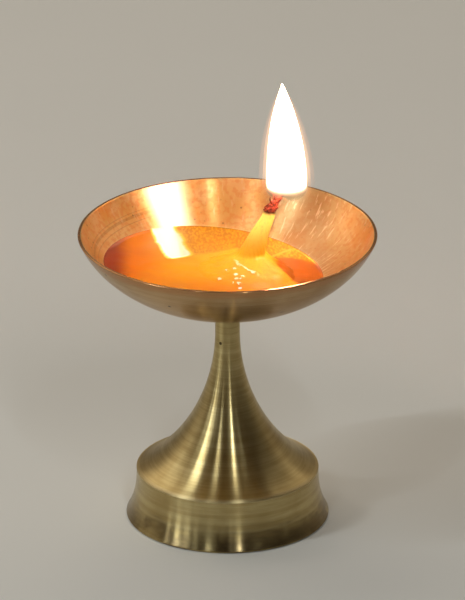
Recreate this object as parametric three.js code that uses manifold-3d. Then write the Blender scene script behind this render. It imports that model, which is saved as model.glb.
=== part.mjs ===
// A small brass oil lamp on a pedestal: a turned stand, a shallow bowl screwed onto it,
// ghee in the bowl, a cotton wick with a burnt end, and its flame.
// Millimetres, +Z up. The origin is on the lamp's axis, at the table under the foot.

import * as THREE from 'three';
import { mergeVertices } from 'three/addons/utils/BufferGeometryUtils.js';
import Module from 'manifold-3d';

const wasm = await Module();
wasm.setup();

// Stand
const footRadius = 20.5;
const footEdge = 0.35;
const skirtWaistRadius = 18.15;
const skirtWaistHeight = 4.3;
const shoulderRadius = 18.4;
const shoulderHeight = 10.4;
const coneFootAngle = THREE.MathUtils.degToRad(21);
const coneFootReach = 6.0;
const coneNeckReach = 16.2;
const neckRadius = 2.5;
const neckLength = 5.5;
const seatHeight = 45.4;
const standWall = 1.8;
const coreTipRadius = 2.5;
const coreTipHeight = 1.0;

// Thread between stand and bowl, as a plain spigot in a plain hole
const spigotRadius = 1.5;
const spigotLength = 8.0;
const spigotChamfer = 0.4;
const spigotClearance = 0.1;
const spigotEndRoom = 0.6;

// Bowl
const rimRadius = 30;
const bowlDepth = 15.6;
const bowlBulge = 0.96;
const bowlWall = 0.8;
const bowlFloor = 1.5;
const rimEdge = 0.2;

// Ghee, partly set, so that it lies higher on one side
const gheeBelowRim = 8.3;
const gheeSlope = THREE.MathUtils.degToRad(5);
const softGap = 0.3;

// Wick: a round pad of cotton drawn up into a pointed stalk, with a burnt end
const padRadiusX = 11.4;
const padRadiusY = 10.2;
const padX = 3.4;
const padY = 0.8;
const padRise = 0.35;
const stalkX = 4.0;
const stalkY = 5.4;
const stalkRootRadius = 3.4;
const stalkTipRadius = 1.15;
const stalkTaper = 0.7;
const stalkHeight = 10.1;
const stalkLean = 4.5;
const stalkLeanBack = 2.1;
const gatherHeight = 2.2;
const charLength = 3.5;
const charLean = 2.7;
const charLeanBack = 1.1;
const charTipRadius = 0.4;
const charLump = 0.08;

// Flame, burning round the burnt end
const flameHeight = 25.0;
const flameRadius = 4.2;
const flameTipRadius = 0.05;
const flameFullness = 2.5;
const flameRoundShare = 0.09;
const flameLean = -1.05;
const flameDrop = 1.74;
const flameSide = 3.35;
const flameBack = 1.7;

// Facets and rings
const turnedFacets = 64;
const softFacets = 32;
const bowlSteps = 12;
const gatherRings = 7;
const stalkRings = 6;
const charRows = 6;
const flameRings = 20;

const rimHeight = seatHeight + bowlDepth;
const gheeHeight = rimHeight - gheeBelowRim;

// A closed mesh as a solid that can be cut and joined
function toSolid(geometry) {
  const plain = geometry.clone();
  plain.deleteAttribute('normal');
  plain.deleteAttribute('uv');
  const merged = mergeVertices(plain, 1e-5);
  const corners = merged.index.array;
  const kept = [];
  for (let i = 0; i < corners.length; i += 3) {
    const [a, b, c] = [corners[i], corners[i + 1], corners[i + 2]];
    if (a !== b && b !== c && c !== a) kept.push(a, b, c);
  }
  const mesh = new wasm.Mesh({
    numProp: 3,
    vertProperties: new Float32Array(merged.attributes.position.array),
    triVerts: new Uint32Array(kept),
  });
  return new wasm.Manifold(mesh);
}

function toGeometry(solid) {
  const mesh = solid.getMesh();
  const geometry = new THREE.BufferGeometry();
  geometry.setAttribute('position', new THREE.BufferAttribute(mesh.vertProperties, 3));
  geometry.setIndex(new THREE.BufferAttribute(mesh.triVerts, 1));
  geometry.computeVertexNormals();
  return geometry;
}

// A solid turned about the lamp's axis from a profile of [radius, height]
function turned(profile, facets = turnedFacets) {
  const points = profile.map(([radius, height]) => new THREE.Vector2(radius, height));
  return toSolid(new THREE.LatheGeometry(points, facets).rotateX(Math.PI / 2));
}

// A solid through rings, each { x, y, z, rx, ry, slope }, closed at both ends
function lofted(rings, facets = softFacets) {
  const position = [];
  const index = [];
  for (const ring of rings) {
    for (let i = 0; i < facets; i += 1) {
      const angle = (2 * Math.PI * i) / facets;
      const x = ring.x + ring.rx * Math.cos(angle);
      const y = ring.y + ring.ry * Math.sin(angle);
      position.push(x, y, ring.z - Math.tan(ring.slope ?? 0) * x);
    }
  }
  for (let k = 0; k < rings.length - 1; k += 1) {
    for (let i = 0; i < facets; i += 1) {
      const j = (i + 1) % facets;
      const [a, b, c, d] = [k * facets + i, k * facets + j, (k + 1) * facets + j, (k + 1) * facets + i];
      index.push(a, b, c, a, c, d);
    }
  }
  const top = (rings.length - 1) * facets;
  for (let i = 1; i < facets - 1; i += 1) {
    index.push(0, i + 1, i);
    index.push(top, top + i, top + i + 1);
  }
  const geometry = new THREE.BufferGeometry();
  geometry.setAttribute('position', new THREE.Float32BufferAttribute(position, 3));
  geometry.setIndex(index);
  return toSolid(geometry);
}

// Points of a curve as [radius, height]
function along(curve, steps) {
  return curve.getPoints(steps).map((point) => [point.x, point.y]);
}

// The same points moved towards the axis and down by a wall
function insideOf(points, wall) {
  return points.slice(0, -1).map(([radius, height], i) => {
    const [nextRadius, nextHeight] = points[i + 1];
    const step = new THREE.Vector2(nextRadius - radius, nextHeight - height).normalize();
    return [radius - wall * step.y, height + wall * step.x];
  });
}

function skirtCurve() {
  return new THREE.QuadraticBezierCurve(
    new THREE.Vector2(footRadius, footEdge),
    new THREE.Vector2(skirtWaistRadius, skirtWaistHeight),
    new THREE.Vector2(shoulderRadius, shoulderHeight),
  );
}

function coneCurve() {
  const neckBottom = seatHeight - neckLength;
  return new THREE.CubicBezierCurve(
    new THREE.Vector2(shoulderRadius, shoulderHeight),
    new THREE.Vector2(
      shoulderRadius - coneFootReach * Math.cos(coneFootAngle),
      shoulderHeight + coneFootReach * Math.sin(coneFootAngle),
    ),
    new THREE.Vector2(neckRadius, neckBottom - coneNeckReach),
    new THREE.Vector2(neckRadius, neckBottom),
  );
}

// Cast hollow under the foot, a wall's thickness inside the skirt and the cone
function foundryCore() {
  const roof = insideOf(along(coneCurve(), 14), standWall)
    .filter(([radius]) => radius <= shoulderRadius - standWall && radius >= coreTipRadius);
  const side = along(skirtCurve(), 4)
    .map(([radius, height]) => [radius - standWall, height])
    .filter(([, height]) => height < roof[0][1]);
  const tip = roof[roof.length - 1];
  const below = -1;
  return turned([
    [0, below],
    [side[0][0], below],
    ...side,
    ...roof,
    [0, tip[1] + coreTipHeight],
  ]);
}

function pedestal() {
  const outside = turned([
    [0, 0],
    [footRadius - footEdge, 0],
    ...along(skirtCurve(), 6),
    ...along(coneCurve(), 13).slice(1),
    [neckRadius, seatHeight],
    [0, seatHeight],
  ]);
  const holeRadius = spigotRadius + spigotClearance;
  const hole = turned([
    [0, seatHeight - spigotLength - spigotEndRoom],
    [holeRadius, seatHeight - spigotLength - spigotEndRoom],
    [holeRadius, seatHeight + 1],
    [0, seatHeight + 1],
  ]);
  return outside.subtract(foundryCore()).subtract(hole);
}

// Part of an oval from the bowl's middle out to its rim, as [radius, height].
// The oval is a little wider than the rim, so the bowl still opens out there.
function bowlCurve(radius, depth, steps) {
  const rimAngle = Math.asin(bowlBulge);
  const ovalRadius = radius / bowlBulge;
  const ovalHeight = depth / (1 - Math.cos(rimAngle));
  const points = [];
  for (let i = 0; i <= steps; i += 1) {
    const angle = (rimAngle * i) / steps;
    const height = rimHeight - depth + ovalHeight * (1 - Math.cos(angle));
    points.push([ovalRadius * Math.sin(angle), height]);
  }
  return points;
}

function bowl() {
  const outer = bowlCurve(rimRadius, bowlDepth, bowlSteps).slice(0, -1);
  const inner = bowlCurve(rimRadius - bowlWall, bowlDepth - bowlFloor, bowlSteps).slice(0, -1);
  const spigotEnd = seatHeight - spigotLength;
  return turned([
    [0, spigotEnd],
    [spigotRadius - spigotChamfer, spigotEnd],
    [spigotRadius, spigotEnd + spigotChamfer],
    [spigotRadius, seatHeight],
    [neckRadius, seatHeight],
    ...outer.filter(([radius]) => radius > neckRadius),
    [rimRadius, rimHeight - rimEdge],
    [rimRadius - rimEdge, rimHeight],
    [rimRadius - bowlWall + rimEdge, rimHeight],
    [rimRadius - bowlWall, rimHeight - rimEdge],
    ...inner.reverse(),
  ]);
}

// The room inside the bowl, drawn in by a gap, and open upwards
function bowlRoom(gap) {
  const wall = bowlCurve(rimRadius - bowlWall - gap, bowlDepth - bowlFloor - gap, bowlSteps);
  const overRim = rimHeight + bowlDepth;
  return turned([...wall, [rimRadius - bowlWall - gap, overRim], [0, overRim]]);
}

// What the pad takes up, with upright sides so that it lifts straight out
function padBlock(gap, top) {
  const rx = padRadiusX + gap;
  const ry = padRadiusY + gap;
  return lofted([
    { x: padX, y: padY, z: seatHeight, rx, ry },
    { x: padX, y: padY, z: top, rx, ry, slope: gheeSlope },
  ]);
}

function ghee() {
  const wide = 4 * rimRadius;
  const under = new THREE.BoxGeometry(wide, wide, wide);
  under.translate(0, 0, -wide / 2);
  under.rotateY(gheeSlope);
  under.translate(0, 0, gheeHeight);
  return bowlRoom(softGap).intersect(toSolid(under)).subtract(padBlock(softGap, rimHeight));
}

// The stalk's ring at a share of its height, 0 at the root and 1 at the burnt end
function stalkRing(share) {
  const radius = THREE.MathUtils.lerp(stalkRootRadius, stalkTipRadius, share ** stalkTaper);
  return {
    x: stalkX + stalkLean * share,
    y: stalkY + stalkLeanBack * share,
    z: gheeHeight + stalkHeight * share,
    rx: radius,
    ry: radius,
  };
}

// The pad's top rises over a quarter of an oval and gathers into the stalk
function gatheredRing(share) {
  const spread = Math.cos((share * Math.PI) / 2);
  const root = stalkRing((share * gatherHeight) / stalkHeight);
  return {
    x: THREE.MathUtils.lerp(root.x, padX, spread),
    y: THREE.MathUtils.lerp(root.y, padY, spread),
    z: THREE.MathUtils.lerp(root.z, gheeHeight + padRise, Math.sqrt(spread)),
    rx: THREE.MathUtils.lerp(root.rx, padRadiusX - padRise, spread),
    ry: THREE.MathUtils.lerp(root.ry, padRadiusY - padRise, spread),
    slope: gheeSlope * spread,
  };
}

function wick() {
  const pad = { x: padX, y: padY, rx: padRadiusX, ry: padRadiusY };
  const rings = [
    { ...pad, z: seatHeight },
    { ...pad, z: gheeHeight - padRise, slope: gheeSlope },
  ];
  for (let i = 1; i <= gatherRings; i += 1) rings.push(gatheredRing(i / gatherRings));
  const gathered = gatherHeight / stalkHeight;
  for (let i = 1; i <= stalkRings; i += 1) {
    rings.push(stalkRing(THREE.MathUtils.lerp(gathered, 1, i / stalkRings)));
  }
  return lofted(rings).intersect(bowlRoom(softGap));
}

// The burnt end, bent over, lumpy and thinning, from the stalk's end face
function charRings(gap) {
  const root = stalkRing(1);
  const rings = [];
  for (let i = 0; i <= charRows; i += 1) {
    const share = i / charRows;
    const lump = 1 + charLump * Math.sin(3 * Math.PI * share);
    const radius = THREE.MathUtils.lerp(stalkTipRadius, charTipRadius, share ** 1.4) * lump + gap;
    rings.push({
      x: root.x + charLean * share ** 1.3,
      y: root.y + charLeanBack * share,
      z: root.z + charLength * share,
      rx: radius,
      ry: radius,
    });
  }
  return rings;
}

function wickChar() {
  return lofted(charRings(0));
}

// The flame's radius at a share of its height: a round bottom, full sides and a pointed top
function flameRadiusAt(share) {
  const fromBottom = Math.min(share / flameRoundShare, 1);
  const bottom = Math.sqrt(1 - (1 - fromBottom) ** 2);
  return flameRadius * bottom * (1 - share ** flameFullness);
}

function flame() {
  const root = stalkRing(1);
  const base = root.z + charLength - flameDrop;
  const rings = [];
  for (let i = 0; i <= flameRings; i += 1) {
    // Rings crowd towards the round bottom
    const share = (i / flameRings) ** 1.6;
    const radius = Math.max(flameRadiusAt(share), flameTipRadius);
    rings.push({
      x: root.x + flameSide + flameLean * share ** 2,
      y: root.y + flameBack,
      z: base + flameHeight * share,
      rx: radius,
      ry: radius,
    });
  }
  const room = charRings(softGap);
  const end = room[room.length - 1];
  room.push({ ...end, z: end.z + softGap });
  return lofted(rings).subtract(lofted(room));
}

const brass = { color: 0xb79a56, roughness: 0.32, metalness: 1 };
const meltedGhee = { color: 0xe07a1c, roughness: 0.15, metalness: 0 };
const soakedCotton = { color: 0xf2a63a, roughness: 0.55, metalness: 0 };
const burntCotton = { color: 0x2a0d08, roughness: 0.95, metalness: 0 };
const burningGas = { color: 0xfff3c8, roughness: 1, metalness: 0, emissive: 0xffe9a8, emissiveIntensity: 1 };

function piece(name, solid, finish) {
  const mesh = new THREE.Mesh(toGeometry(solid), new THREE.MeshStandardMaterial(finish));
  mesh.name = name;
  return mesh;
}

const lamp = new THREE.Group();
lamp.add(piece('pedestal', pedestal(), brass));
lamp.add(piece('bowl', bowl(), brass));
lamp.add(piece('ghee', ghee(), meltedGhee));
lamp.add(piece('wick', wick(), soakedCotton));
lamp.add(piece('wick_char', wickChar(), burntCotton));
lamp.add(piece('flame', flame(), burningGas));

export default lamp;
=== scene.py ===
"""The looks of a small lit brass oil lamp: turned stand and bowl, ghee, cotton wick and flame.

Metres, +Z up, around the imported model's frame. The lamp's axis is the Z axis.
"""

import math

import bmesh
import bpy
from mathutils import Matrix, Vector, noise


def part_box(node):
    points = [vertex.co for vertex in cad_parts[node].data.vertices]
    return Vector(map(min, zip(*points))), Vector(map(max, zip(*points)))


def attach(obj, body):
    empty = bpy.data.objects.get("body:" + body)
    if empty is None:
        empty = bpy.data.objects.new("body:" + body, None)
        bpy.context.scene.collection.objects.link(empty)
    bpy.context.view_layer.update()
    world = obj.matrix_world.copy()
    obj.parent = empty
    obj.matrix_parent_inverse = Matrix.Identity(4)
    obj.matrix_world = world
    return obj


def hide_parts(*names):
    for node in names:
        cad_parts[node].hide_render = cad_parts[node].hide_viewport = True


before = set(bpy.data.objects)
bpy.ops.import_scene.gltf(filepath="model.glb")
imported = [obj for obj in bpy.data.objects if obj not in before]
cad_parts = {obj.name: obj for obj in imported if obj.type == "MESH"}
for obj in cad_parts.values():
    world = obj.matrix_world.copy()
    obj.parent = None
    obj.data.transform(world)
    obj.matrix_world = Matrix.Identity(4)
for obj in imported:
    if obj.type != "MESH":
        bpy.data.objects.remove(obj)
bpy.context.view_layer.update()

MM = 0.001

# Sizes read from the frame
FOOT_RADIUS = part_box("pedestal")[1].x
SEAT_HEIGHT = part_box("pedestal")[1].z
RIM_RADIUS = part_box("bowl")[1].x
RIM_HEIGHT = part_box("bowl")[1].z
SPIGOT_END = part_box("bowl")[0].z
CHAR_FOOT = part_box("wick_char")[0].z
FLAME_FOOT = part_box("flame")[0].z
FLAME_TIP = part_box("flame")[1].z

# Stand
FOOT_EDGE = 0.35 * MM
SKIRT_WAIST = (18.15 * MM, 4.3 * MM)
SHOULDER = (18.4 * MM, 10.4 * MM)
CONE_FOOT_ANGLE = math.radians(21)
CONE_FOOT_REACH = 6.0 * MM
CONE_NECK_REACH = 16.2 * MM
NECK_RADIUS = 2.5 * MM
NECK_LENGTH = 5.5 * MM
STAND_WALL = 1.8 * MM
CORE_TIP_HEIGHT = 1.0 * MM
HOLE_RADIUS = 1.6 * MM
HOLE_DEPTH = 8.6 * MM

# Bowl
BOWL_DEPTH = RIM_HEIGHT - SEAT_HEIGHT
BOWL_BULGE = 0.96
BOWL_WALL = 0.8 * MM
BOWL_FLOOR = 1.5 * MM
RIM_ROUNDING = 0.26 * MM
THREAD_PITCH = 0.5 * MM
THREAD_RADIUS = 1.5 * MM
THREAD_CORE = 1.22 * MM

# Ghee
GHEE_HEIGHT = RIM_HEIGHT - 8.3 * MM
GHEE_SLOPE = math.tan(math.radians(5))
GHEE_CREEP = 0.3 * MM
GHEE_GAP = 0.04 * MM

# Wick
PAD_CENTRE = (3.4 * MM, 0.8 * MM)
PAD_RADII = (11.4 * MM, 10.2 * MM)
PAD_RISE = 0.35 * MM
PAD_EDGE_DEPTH = 0.5 * MM
PAD_BELLY = 2.3 * MM
STALK_FOOT = (4.0 * MM, 5.4 * MM)
STALK_ROOT = 3.4 * MM
STALK_TIP = 1.15 * MM
STALK_TAPER = 0.7
STALK_HEIGHT = CHAR_FOOT - GHEE_HEIGHT
STALK_LEAN = (4.5 * MM, 2.1 * MM)
GATHER_SHARE = 0.2
STRANDS = 19
STRAND_TWIST = 2.6

# Burnt end
CHAR_LENGTH = 3.5 * MM
CHAR_LEAN = (2.7 * MM, 1.1 * MM)
CHAR_TIP = 0.4 * MM

# Flame
FLAME_RADIUS = 4.2 * MM
FLAME_CENTRE = (11.85 * MM, 9.2 * MM)
FLAME_LEAN = -1.05 * MM
FLAME_FULLNESS = 2.5
FLAME_ROUND_SHARE = 0.09

# Meshing
TURNED_STEPS = 224
SOFT_STEPS = 240


def mix(start, end, share):
    """The number that lies that share of the way from start to end."""
    return start + (end - start) * share


def smooth_step(low, high, value):
    """0 below low, 1 above high, and a smooth climb between them."""
    share = min(max((value - low) / (high - low), 0), 1)
    return share * share * (3 - 2 * share)


def rough(x, y, z, size):
    """Seeded noise from about -1 to 1, whose bumps are about that size in metres."""
    return noise.noise(Vector((x, y, z)) / size)


# Shader maths


class Value:
    """What comes out of a node. Sums with it add their Math nodes."""

    def __init__(self, shader, socket):
        self.shader = shader
        self.socket = socket

    def sum(self, operation, first, second):
        return self.shader.node("ShaderNodeMath", {"operation": operation}, {0: first, 1: second})

    def __add__(self, other):
        return self.sum("ADD", self, other)

    def __radd__(self, other):
        return self.sum("ADD", other, self)

    def __sub__(self, other):
        return self.sum("SUBTRACT", self, other)

    def __rsub__(self, other):
        return self.sum("SUBTRACT", other, self)

    def __mul__(self, other):
        return self.sum("MULTIPLY", self, other)

    def __rmul__(self, other):
        return self.sum("MULTIPLY", other, self)

    def __truediv__(self, other):
        return self.sum("DIVIDE", self, other)

    def __pow__(self, other):
        return self.sum("POWER", self, other)


class Shader:
    """A node tree, with short names for the nodes and sums that are used often."""

    def __init__(self, owner):
        owner.use_nodes = True
        self.tree = owner.node_tree
        self.tree.nodes.clear()

    def node(self, kind, settings=None, sockets=None, out=0):
        """Adds a node, sets it, fills or links its sockets, and gives the output asked for."""
        made = self.tree.nodes.new(kind)
        for key, setting in (settings or {}).items():
            setattr(made, key, setting)
        for key, value in (sockets or {}).items():
            socket = made.inputs[key]
            if isinstance(value, Value):
                self.tree.links.new(value.socket, socket)
            elif socket.type == "RGBA" and len(value) == 3:
                socket.default_value = (*value, 1)
            else:
                socket.default_value = value
        return Value(self, made.outputs[out]) if made.outputs else None

    def place(self):
        """Where a point is, in metres from the foot of the lamp's axis."""
        return self.node("ShaderNodeTexCoord", out="Object")

    def parts(self, vector):
        """The x, y and z of a vector."""
        made = self.tree.nodes.new("ShaderNodeSeparateXYZ")
        self.tree.links.new(vector.socket, made.inputs[0])
        return [Value(self, output) for output in made.outputs]

    def vector(self, x, y, z):
        return self.node("ShaderNodeCombineXYZ", sockets={0: x, 1: y, 2: z})

    def stretched(self, vector, scale):
        """The vector with each side scaled by its own number."""
        return self.node("ShaderNodeMapping", sockets={"Vector": vector, "Scale": scale})

    def grain(self, vector, scale, detail=3, distortion=0):
        """Cloudy noise from 0 to 1, with that many clouds to the metre."""
        sockets = {"Vector": vector, "Scale": scale, "Detail": detail, "Distortion": distortion}
        return self.node("ShaderNodeTexNoise", sockets=sockets)

    def specks(self, vector, scale):
        """How far a point is from the nearest of many scattered specks."""
        return self.node("ShaderNodeTexVoronoi", sockets={"Vector": vector, "Scale": scale})

    def between(self, value, low, high):
        """0 where the value is low, 1 where it is high, and a smooth climb between."""
        settings = {"interpolation_type": "SMOOTHSTEP"}
        return self.node("ShaderNodeMapRange", settings, {0: value, 1: low, 2: high, 3: 0, 4: 1})

    def blend(self, first, second, share):
        """One colour with a share of another."""
        sockets = {0: share, 6: first, 7: second}
        return self.node("ShaderNodeMix", {"data_type": "RGBA"}, sockets, out=2)

    def band(self, value, low, full_from, full_to, high):
        """1 from full_from to full_to, and 0 below low and above high."""
        return self.between(value, low, full_from) * (1 - self.between(value, full_to, high))

    def length(self, x, y):
        """How long the side from the corner to (x, y) is."""
        return (x * x + y * y) ** 0.5

    def near(self, vector, centre, radius):
        """1 close to a point and 0 from the radius on."""
        sockets = {0: vector, 1: centre}
        gap = self.node("ShaderNodeVectorMath", {"operation": "DISTANCE"}, sockets, out="Value")
        return 1 - self.between(gap, radius * 0.35, radius)

    def bump(self, height, strength, distance):
        sockets = {"Height": height, "Strength": strength, "Distance": distance}
        return self.node("ShaderNodeBump", sockets=sockets)

    def finish(self, sockets):
        """Ends the tree in one glossy surface."""
        surface = self.node("ShaderNodeBsdfPrincipled", sockets=sockets)
        self.node("ShaderNodeOutputMaterial", sockets={"Surface": surface})


def new_material(name):
    material = bpy.data.materials.new(name)
    return material, Shader(material)


# Finishes


# Turned brass: its pale and deep tones, and its roughness on the skirt and over it
STAND_PALE = (0.6, 0.49, 0.24)
STAND_DEEP = (0.44, 0.33, 0.14)
STAND_SATIN = (0.235, 0.287)
STAND_RING_DEPTH = 0.018 * MM
BOWL_PALE = (0.56, 0.38, 0.2)
BOWL_DEEP = (0.44, 0.27, 0.12)
BOWL_SATIN = (0.22, 0.22)
BOWL_RING_DEPTH = 0.01 * MM
BURNT_BAND = 2.4 * MM
BURNT_BRASS = (0.5, 0.24, 0.1)
FOOT_DARK_REFLECTION_BRASS = (0.16, 0.11, 0.06)
UNDER_SEAT_HIGHLIGHT_BRASS = (0.85, 0.68, 0.42)
SHOULDER_HIGHLIGHT_BRASS = (0.8, 0.66, 0.36)
PORE_DARK = (0.05, 0.03, 0.015)
PORE_PLACES = [
    (-24.06 * MM, -15.93 * MM, 58.74 * MM),
    (-11.43 * MM, -23.53 * MM, 55.22 * MM),
    (10.71 * MM, -21.26 * MM, 53.03 * MM),
    (-1.4 * MM, -2.1 * MM, 38.0 * MM),
]
PORE_REACH = 0.46 * MM
# The tool's marks run round the axis, so the shine is drawn out across them
DRAWN_OUT = 1.0
QUARTER_TURN = 0.25


def turned_section(shader):
    """The place of a point on the lathe: its distance from the axis and its height, alike all round."""
    x, y, z = shader.parts(shader.place())
    return shader.vector(shader.length(x, y), z, 0)


def up_the_wall(shader, squeeze):
    """A place that changes quickly round the bowl and slowly up its wall, for marks that run up it."""
    x, y, z = shader.parts(shader.place())
    radius = shader.length(x, y)
    return shader.vector(x / radius * RIM_RADIUS, y / radius * RIM_RADIUS, z * squeeze)


def turned_brass(name, pale, deep, roughness, ring_depth, burnt_from):
    """Satin brass with a lathe tool's rings, a thin patina and pores, burnt brown from a height on.

    It is smoother close under the bowl's seat with a painted highlight there, rougher along the
    shoulder's edge with a painted highlight, and darkened at the foot with a painted dark reflection.
    """
    material, shader = new_material(name)
    place = shader.place()
    x, y, z = shader.parts(place)
    section = turned_section(shader)
    fine_rings = shader.grain(section, 3200, detail=2)
    broad_rings = shader.grain(section, 900, detail=2)
    patina = shader.grain(place, 120, detail=5, distortion=0.5)
    smears = shader.grain(shader.stretched(place, (1, 1, 5)), 260, detail=4)
    tone = patina * 0.36 + broad_rings * 0.26 + fine_rings * 0.2 + smears * 0.18
    colour = shader.blend(pale, deep, shader.between(tone, 0.38, 0.62))
    burnt = shader.between(z + (patina - 0.5) * 1.5 * MM, burnt_from, burnt_from + 1.5 * MM)
    colour = shader.blend(colour, BURNT_BRASS, burnt * 0.75)
    pores = shader.near(place, PORE_PLACES[0], PORE_REACH)
    for centre in PORE_PLACES[1:]:
        pores = pores + shader.near(place, centre, PORE_REACH)
    colour = shader.blend(colour, PORE_DARK, shader.between(pores, 0.1, 0.7) * 0.9)
    # Painted dark reflection: the skirt is darkened in patches low by the foot, standing in for a dark
    # reflection there
    at_foot = 1 - shader.between(z + (smears - 0.5) * 8 * MM, 1.5 * MM, 5.5 * MM)
    foot_dark_reflection = at_foot * shader.between(patina, 0.4, 0.56)
    colour = shader.blend(colour, FOOT_DARK_REFLECTION_BRASS, foot_dark_reflection * 0.65)
    over_skirt = shader.between(z, SHOULDER[1] - 0.5 * MM, SHOULDER[1] + 0.5 * MM)
    satin = roughness[0] + over_skirt * (roughness[1] - roughness[0])
    under_bowl = shader.band(z - SEAT_HEIGHT, 0, MM, 2.5 * MM, 5 * MM)
    satin = satin - under_bowl * 0.12
    # Painted highlight: pale brass painted close under the bowl's seat, where bright reflections show
    colour = shader.blend(colour, UNDER_SEAT_HIGHLIGHT_BRASS, under_bowl * 0.7)
    # Painted highlight: a pale, rougher band along the shoulder's edge, where the edge catches a bright
    # line of light
    shoulder_highlight = shader.band(z - SHOULDER[1], -0.4 * MM, -0.15 * MM, 0.1 * MM, 0.4 * MM)
    colour = shader.blend(colour, SHOULDER_HIGHLIGHT_BRASS, shoulder_highlight * 0.8)
    satin = satin + shoulder_highlight * 0.2
    grooves = fine_rings * 0.3 + broad_rings * 0.7
    height = grooves - pores * 2.0
    shader.finish(
        {
            "Base Color": colour,
            "Metallic": 1,
            "Roughness": satin + (fine_rings - 0.5) * 0.03 + (smears - 0.5) * 0.03,
            "Anisotropic": DRAWN_OUT,
            "Anisotropic Rotation": QUARTER_TURN,
            "Normal": shader.bump(height, 0.6, ring_depth),
        }
    )
    return material


WALL_PALE = (0.92, 0.62, 0.26)
WALL_DEEP = (0.84, 0.5, 0.15)
WALL_MOTTLED = (0.8, 0.3, 0.07)
WALL_SCORCHED = (0.95, 0.38, 0.07)
WALL_RINGED = (0.5, 0.22, 0.07)
WALL_BY_FLAME = (0.34, 0.21, 0.1)
WALL_SCRATCHED = (1.0, 0.84, 0.55)
WALL_SPOTTED = (0.28, 0.1, 0.03)
WALL_PAINTED_REFLECTION = (1.0, 0.86, 0.68)
WALL_UNDER_GHEE_PAINTED_LIGHT = (1.0, 0.92, 0.74)


def worn_brass(name):
    """The bowl's inside: brass scoured and scorched by many fillings of ghee, with pits and stains, a
    painted reflection up its back wall and painted light where it lies under the ghee.
    """
    material, shader = new_material(name)
    place = shader.place()
    section = turned_section(shader)
    rings = shader.grain(section, 1500, detail=3)
    stains = shader.grain(place, 150, detail=4)
    scorch = shader.between(shader.grain(place, 90, detail=2), 0.5, 0.72)
    dots = 1 - shader.between(shader.specks(place, 620), 0.05, 0.2)
    runs = shader.grain(up_the_wall(shader, 0.32), 1500, detail=3)
    marks = shader.between(runs, 0.58, 0.68)
    mottle = shader.grain(place, 1000, detail=3)
    x, y, z = shader.parts(place)
    over_level = z + x * GHEE_SLOPE - GHEE_HEIGHT
    under_ghee = 1 - shader.between(over_level, -0.8 * MM, 0.6 * MM)
    right_side = shader.between(x, 6 * MM, 24 * MM)
    by_flame = shader.band(x, 5 * MM, 12 * MM, 18 * MM, 27 * MM)
    colour = shader.blend(WALL_PALE, WALL_DEEP, shader.between(stains, 0.4, 0.66))
    colour = shader.blend(colour, WALL_MOTTLED, shader.between(mottle, 0.46, 0.62) * 0.45)
    colour = shader.blend(colour, WALL_SCORCHED, scorch * 0.6)
    left_side = 1 - shader.between(x + (stains - 0.5) * 30 * MM, -16 * MM, -6 * MM)
    left_rings = shader.between(rings, 0.55, 0.62) * left_side
    colour = shader.blend(colour, WALL_RINGED, left_rings * 0.4)
    colour = shader.blend(colour, WALL_BY_FLAME, by_flame * 0.7)
    colour = shader.blend(colour, WALL_SCRATCHED, marks * (0.25 + right_side * 0.25))
    colour = shader.blend(colour, WALL_SPOTTED, dots * shader.between(stains, 0.45, 0.6) * 0.7)
    # Painted reflection: a pale band up the back left wall where the flame's reflection shows
    reflection_band = shader.band(x / shader.length(x, y), -0.64, -0.52, -0.36, -0.24)
    colour = shader.blend(colour, WALL_PAINTED_REFLECTION, reflection_band * shader.between(y, 0, 6 * MM) * 0.75)
    # Painted light: the wall under the ghee is painted pale so that it shows bright through the clear
    # ghee
    colour = shader.blend(colour, WALL_UNDER_GHEE_PAINTED_LIGHT, under_ghee * 0.9)
    shader.finish(
        {
            "Base Color": colour,
            "Metallic": 0.68 + right_side * 0.16 - under_ghee * 0.36,
            "Roughness": 0.36 + under_ghee * 0.1,
            "Anisotropic": DRAWN_OUT,
            "Anisotropic Rotation": QUARTER_TURN,
            "Normal": shader.bump(rings * 0.5 - dots * 0.3, 0.5, 0.01 * MM),
        }
    )
    return material


GHEE_PAINTED_LIT = (0.76, 0.35, 0.014)
GHEE_FRONT_PAINTED_SHADE = (0.66, 0.23, 0.01)
GHEE_RIGHT = (0.27, 0.065, 0.002)
GHEE_FAR = (0.78, 0.21, 0.006)
GHEE_RED_SHADED_END = (0.3, 0.04, 0.009)
GHEE_STREAKED = (0.74, 0.4, 0.04)
GHEE_OVER_WALL = ((0.52, 0.23, 0.006), (0.8, 0.44, 0.018))
REFLECTION_FRINGE = (0.95, 0.55, 0.05)
REFLECTION_MIDDLE = (1.0, 0.93, 0.78)
REFLECTION_FRINGE_GLOW = (0.6, 0.34, 0.02)
REFLECTION_MIDDLE_GLOW = (0.9, 0.82, 0.66)
NO_GLOW = (0.0, 0.0, 0.0)


def pooled_right(shader, place, wander):
    """1 in the clear ghee to the right of the wick, past a line from the stalk's foot to the front."""
    x, y, z = shader.parts(place)
    low = 1 - shader.between(z, GHEE_HEIGHT + 0.2 * MM, GHEE_HEIGHT + 1.2 * MM)
    return shader.between(x * 0.8 + y * 0.6 + wander, 8.7 * MM, 9.7 * MM) * low


POOL_CENTRE = (11.5 * MM, 1.3 * MM)
POOL_RADIUS = 8.7 * MM


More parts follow.
